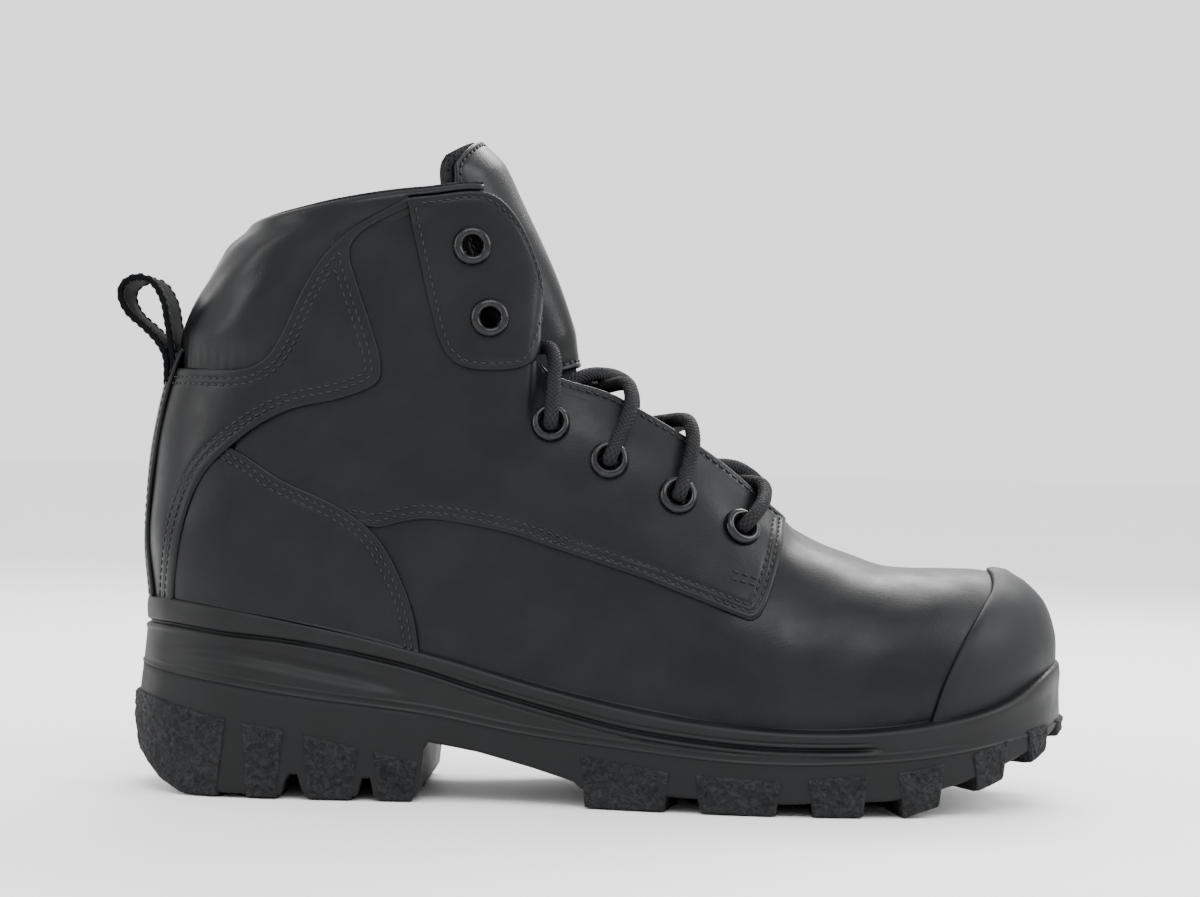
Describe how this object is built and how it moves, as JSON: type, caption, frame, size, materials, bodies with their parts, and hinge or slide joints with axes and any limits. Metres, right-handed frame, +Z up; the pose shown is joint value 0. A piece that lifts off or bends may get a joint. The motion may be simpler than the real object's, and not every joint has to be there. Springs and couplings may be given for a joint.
{
  "type": "steel toe work boot",
  "caption": "Laced ankle-high leather work boot with steel toe cap, rubber scuff cap, lugged sole, padded collar and tongue, pull loop and opening flaps.",
  "frame": {"origin": "middle of the heel tread, on the ground", "axes": "+X to the toe, +Z up, +Y to the inner side of the foot; this is the right boot"},
  "size_m": [0.3164, 0.1143, 0.216],
  "materials": {
    "leather": "black full-grain leather, waxed",
    "outsole_rubber": "matt black lugged rubber",
    "midsole_rubber": "moulded black sole unit",
    "bumper_rubber": "smooth moulded scuff cap",
    "textile": "dark grey mesh lining",
    "lace_cord": "round braided cord",
    "foam": "open-cell padding",
    "steel": "pressed steel",
    "black_metal": "black lacquered eyelets",
    "fibre_board": "pressed fibre board"
  },
  "bodies": {
    "boot": {"ankle_panel_lateral": "leather", "ankle_panel_medial": "leather", "backstay_strap": "leather", "collar_cover": "leather", "collar_foam": "foam", "eyelet_lateral_3": "black_metal", "eyelet_lateral_4": "black_metal", "eyelet_lateral_5": "black_metal", "eyelet_lateral_6": "black_metal", "eyelet_medial_3": "black_metal", "eyelet_medial_4": "black_metal", "eyelet_medial_5": "black_metal", "eyelet_medial_6": "black_metal", "footbed": "textile", "gusset_lateral": "textile", "gusset_medial": "textile", "heel_counter": "fibre_board", "heel_panel_lateral": "leather", "heel_panel_medial": "leather", "insole_board": "fibre_board", "lace": "lace_cord", "lace_tip_long": "lace_cord", "lace_tip_short": "lace_cord", "midsole": "midsole_rubber", "outsole": "outsole_rubber", "quarter_lateral": "leather", "quarter_medial": "leather", "shaft_lining": "textile", "shank": "steel", "steel_toe_cap": "steel", "toe_bumper": "bumper_rubber", "toe_cap_edge_strip": "foam", "tongue_base": "textile", "vamp": "leather", "vamp_lining": "textile"},
    "flap_lateral": {"eyestay_flap_lateral": "leather", "flap_backing_lateral": "textile", "eyelet_lateral_1": "black_metal", "eyelet_lateral_2": "black_metal"},
    "flap_medial": {"eyestay_flap_medial": "leather", "flap_backing_medial": "textile", "eyelet_medial_1": "black_metal", "eyelet_medial_2": "black_metal"},
    "tongue": {"tongue_cover": "leather", "tongue_foam": "foam", "tongue_lining": "textile"},
    "loop": {"pull_loop": "leather"}
  },
  "joints": [
    {"name": "flap_open_lateral", "type": "hinge", "parent": "boot", "child": "flap_lateral", "pos_m": [0.0495, -0.0338, 0.161], "axis": [0.269, 0, -0.9631], "range_deg": [0, 20], "stiffness_Nm_per_rad": 0.3},
    {"name": "flap_open_medial", "type": "hinge", "parent": "boot", "child": "flap_medial", "pos_m": [0.0495, 0.0338, 0.161], "axis": [-0.269, 0, 0.9631], "range_deg": [0, 20], "stiffness_Nm_per_rad": 0.3},
    {"name": "tongue_tilt", "type": "hinge", "parent": "boot", "child": "tongue", "pos_m": [0.097, 0, 0.141], "axis": [0, 1, 0], "range_deg": [0, 14], "stiffness_Nm_per_rad": 0.3},
    {"name": "pull_loop_swing", "type": "hinge", "parent": "boot", "child": "loop", "pos_m": [-0.0385, 0, 0.1424], "axis": [0, -1, 0], "range_deg": [-8, 45], "stiffness_Nm_per_rad": 0.05}
  ],
  "couplings": [
    {"joint": "flap_open_medial", "follows": "flap_open_lateral", "ratio": 1},
    {"joint": "tongue_tilt", "follows": "flap_open_lateral", "ratio": 0.7}
  ]
}
